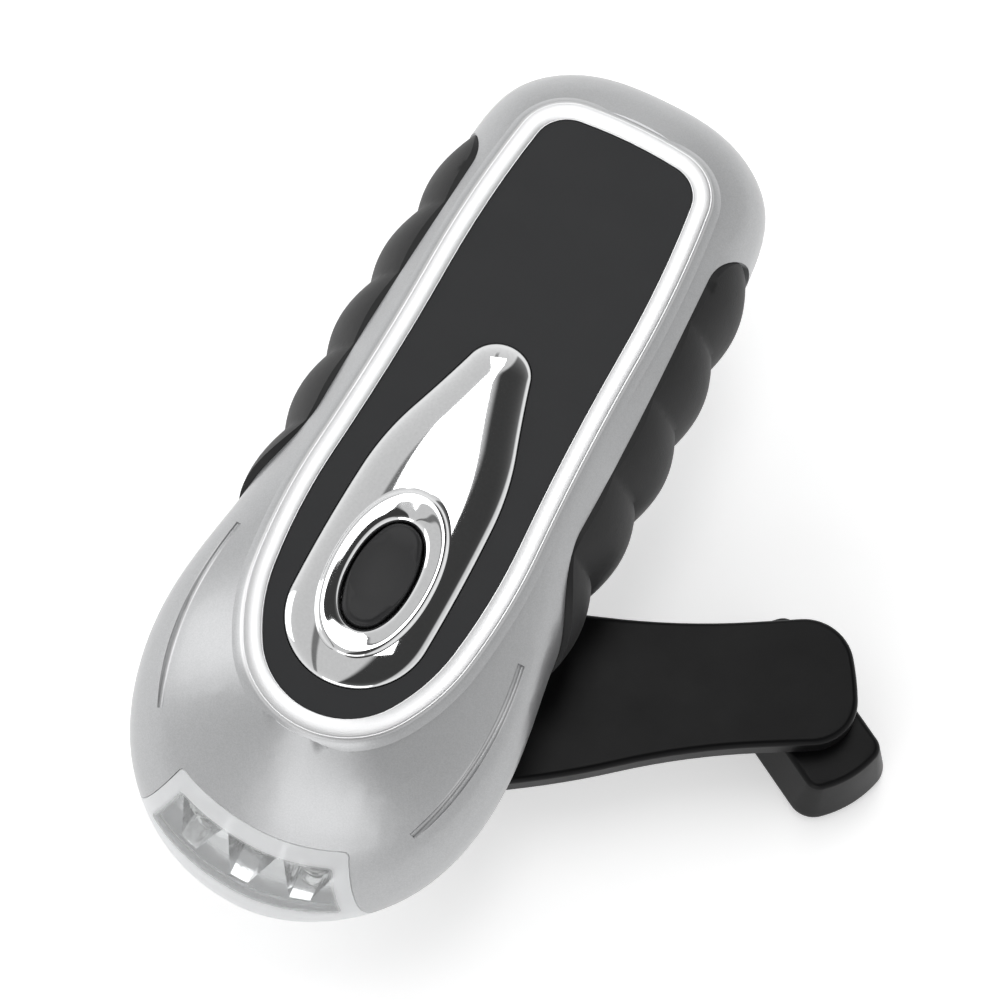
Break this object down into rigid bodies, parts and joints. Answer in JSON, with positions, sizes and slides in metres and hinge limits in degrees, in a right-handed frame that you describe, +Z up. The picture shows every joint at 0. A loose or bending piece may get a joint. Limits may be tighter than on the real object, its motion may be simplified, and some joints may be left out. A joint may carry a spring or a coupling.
{
  "type": "hand crank flashlight",
  "caption": "Pocket torch with a folding hand crank underneath that drives a small generator through gears; lamps behind a wrap-round lens, push button on top.",
  "frame": {"origin": "middle of the flat foot of the heel under the tail", "axes": "+Z up through the top panel, +Y from the lamps to the tail, +X to the side the crank is swung out to"},
  "size_m": [0.089, 0.1199, 0.0416],
  "materials": {
    "silver_paint": "satin metallic silver paint",
    "grip_rubber": "matte",
    "panel_plastic": "fine satin",
    "bezel_chrome": "mirror",
    "button_rubber": "satin",
    "switch_plastic": "satin",
    "plunger_plastic": "gloss",
    "lens_clear": "clear",
    "reflector_mirror": "mirror",
    "led_resin": "gloss",
    "crank_plastic": "satin",
    "knob_plastic": "satin",
    "shaft_steel": "brushed",
    "screw_steel": "brushed",
    "washer_steel": "brushed",
    "bush_brass": "brushed",
    "gear_nylon": "satin",
    "magnet_ferrite": "matte",
    "hub_plastic": "satin",
    "frame_plastic": "satin",
    "core_steel": "brushed",
    "bobbin_plastic": "satin",
    "coil_copper": "lacquered",
    "cell_sleeve": "gloss",
    "board_resin": "satin",
    "diode_plastic": "satin",
    "capacitor_sleeve": "gloss"
  },
  "bodies": {
    "casing": {"top_shell": "silver_paint", "bottom_shell": "silver_paint", "grip_left": "grip_rubber", "grip_right": "grip_rubber", "top_panel": "panel_plastic", "bezel": "bezel_chrome", "switch_body": "switch_plastic", "front_lens": "lens_clear", "reflector": "reflector_mirror", "led_left": "led_resin", "led_center": "led_resin", "led_right": "led_resin", "crank_bush": "bush_brass", "axle_second": "shaft_steel", "axle_third": "shaft_steel", "gear_plate": "frame_plastic", "stator_core": "core_steel", "coil_bobbin": "bobbin_plastic", "coil": "coil_copper", "battery_cells": "cell_sleeve", "main_board": "board_resin", "board_posts": "frame_plastic", "rectifier_diodes": "diode_plastic", "capacitor": "capacitor_sleeve", "led_board": "board_resin", "case_screws": "screw_steel", "plate_screws": "screw_steel"},
    "crank": {"crank_arm": "crank_plastic", "crank_shaft": "shaft_steel", "crank_gear": "gear_nylon", "crank_screw": "screw_steel", "knob_washer": "washer_steel", "knob_screw": "screw_steel"},
    "knob": {"knob": "knob_plastic"},
    "gear_second": {"second_gear": "gear_nylon"},
    "gear_third": {"third_gear": "gear_nylon"},
    "rotor": {"rotor_pinion": "gear_nylon", "rotor_shaft": "shaft_steel", "rotor_magnet": "magnet_ferrite", "rotor_hub": "hub_plastic"},
    "button": {"button": "button_rubber", "switch_plunger": "plunger_plastic"}
  },
  "joints": [
    {"name": "crank_turn", "type": "hinge", "parent": "casing", "child": "crank", "pos_m": [0, -0.0781, 0.0032], "axis": [0, 0, 1], "continuous": true},
    {"name": "knob_spin", "type": "hinge", "parent": "crank", "child": "knob", "pos_m": [0.04922, -0.04818, -0.0008], "axis": [0, 0, 1], "continuous": true},
    {"name": "second_spin", "type": "hinge", "parent": "casing", "child": "gear_second", "pos_m": [0, -0.0581, 0.0092], "axis": [0, 0, 1], "continuous": true},
    {"name": "third_spin", "type": "hinge", "parent": "casing", "child": "gear_third", "pos_m": [0, -0.0441, 0.0122], "axis": [0, 0, 1], "continuous": true},
    {"name": "rotor_spin", "type": "hinge", "parent": "casing", "child": "rotor", "pos_m": [0, -0.0339, 0.0162], "axis": [0, 0, 1], "continuous": true},
    {"name": "button_press", "type": "slide", "parent": "casing", "child": "button", "axis": [0, 0, -1], "range_m": [0, 0.0012], "stiffness_N_per_m": 900}
  ],
  "couplings": [
    {"joint": "second_spin", "follows": "crank_turn", "ratio": -4},
    {"joint": "third_spin", "follows": "crank_turn", "ratio": 12},
    {"joint": "rotor_spin", "follows": "crank_turn", "ratio": -28.8}
  ]
}
